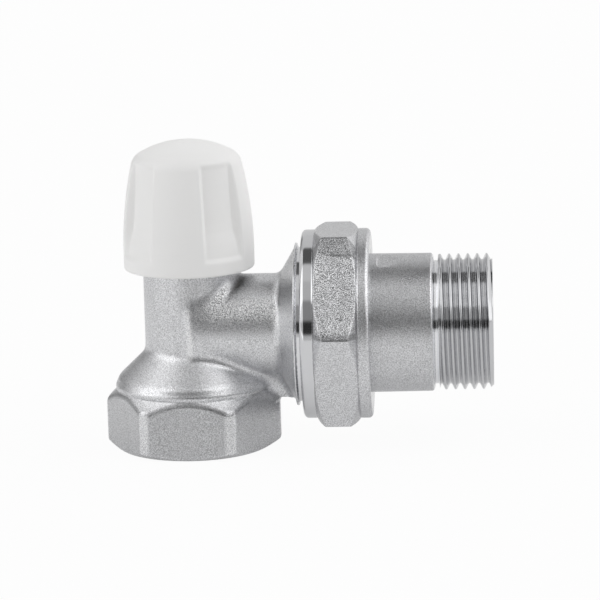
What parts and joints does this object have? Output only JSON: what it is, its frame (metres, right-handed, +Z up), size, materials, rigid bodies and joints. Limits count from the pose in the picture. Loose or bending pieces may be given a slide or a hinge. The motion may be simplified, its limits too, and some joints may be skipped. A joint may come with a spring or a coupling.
{
  "type": "angle radiator valve",
  "caption": "Angle lockshield radiator valve: hexagon inlet boss, neck with screw-on cap, side branch with union nut and threaded tail piece.",
  "frame": {"origin": "centre of the inlet thread at the boss's lower face", "axes": "+Z up along the inlet and the spindle, towards the cap; +X along the branch, the union and the tail piece, towards the radiator"},
  "size_m": [0.0758, 0.0426, 0.0604],
  "materials": {
    "plated_brass": "satin nickel and chrome plate over tumbled brass",
    "bare_brass": "turned",
    "seal_rubber": "matt",
    "spring_steel": "drawn wire",
    "white_plastic": "satin moulded"
  },
  "bodies": {
    "root": {"valve_body": "plated_brass", "headwork_body": "bare_brass", "headwork_o_ring": "seal_rubber", "spindle_circlip": "spring_steel"},
    "disc": {"valve_disc": "bare_brass", "disc_clip": "spring_steel", "seat_washer": "seal_rubber", "washer_nut": "bare_brass"},
    "spindle": {"regulating_spindle": "bare_brass", "spindle_o_ring_lower": "seal_rubber", "spindle_o_ring_upper": "seal_rubber"},
    "cap_seal": {"cap_gasket": "seal_rubber"},
    "cap": {"protective_cap": "white_plastic"},
    "tail": {"tail_piece": "plated_brass", "tail_o_ring": "seal_rubber"},
    "nut": {"union_nut": "plated_brass"}
  },
  "joints": [
    {"name": "disc_lift", "type": "slide", "parent": "root", "child": "disc", "axis": [0, 0, 1], "range_m": [0, 0.0045]},
    {"name": "spindle_turn", "type": "hinge", "parent": "disc", "child": "spindle", "pos_m": [0, 0, 0.035], "axis": [0, 0, 1], "range_deg": [0, 1080]},
    {"name": "cap_lift", "type": "slide", "parent": "root", "child": "cap_seal", "axis": [0, 0, 1], "range_m": [0, 0.009]},
    {"name": "cap_turn", "type": "hinge", "parent": "cap_seal", "child": "cap", "pos_m": [0, 0, 0.048], "axis": [0, 0, 1], "range_deg": [0, 2160]},
    {"name": "tail_draw", "type": "slide", "parent": "root", "child": "tail", "axis": [1, 0, 0], "range_m": [0, 0.00693]},
    {"name": "nut_turn", "type": "hinge", "parent": "tail", "child": "nut", "pos_m": [0.0285, 0, 0.0237], "axis": [1, 0, 0], "range_deg": [0, 1080]}
  ],
  "couplings": [
    {"joint": "spindle_turn", "follows": "disc_lift", "rad_per_m": 4188.8},
    {"joint": "cap_turn", "follows": "cap_lift", "rad_per_m": 4188.8},
    {"joint": "nut_turn", "follows": "tail_draw", "rad_per_m": 2721.2}
  ]
}
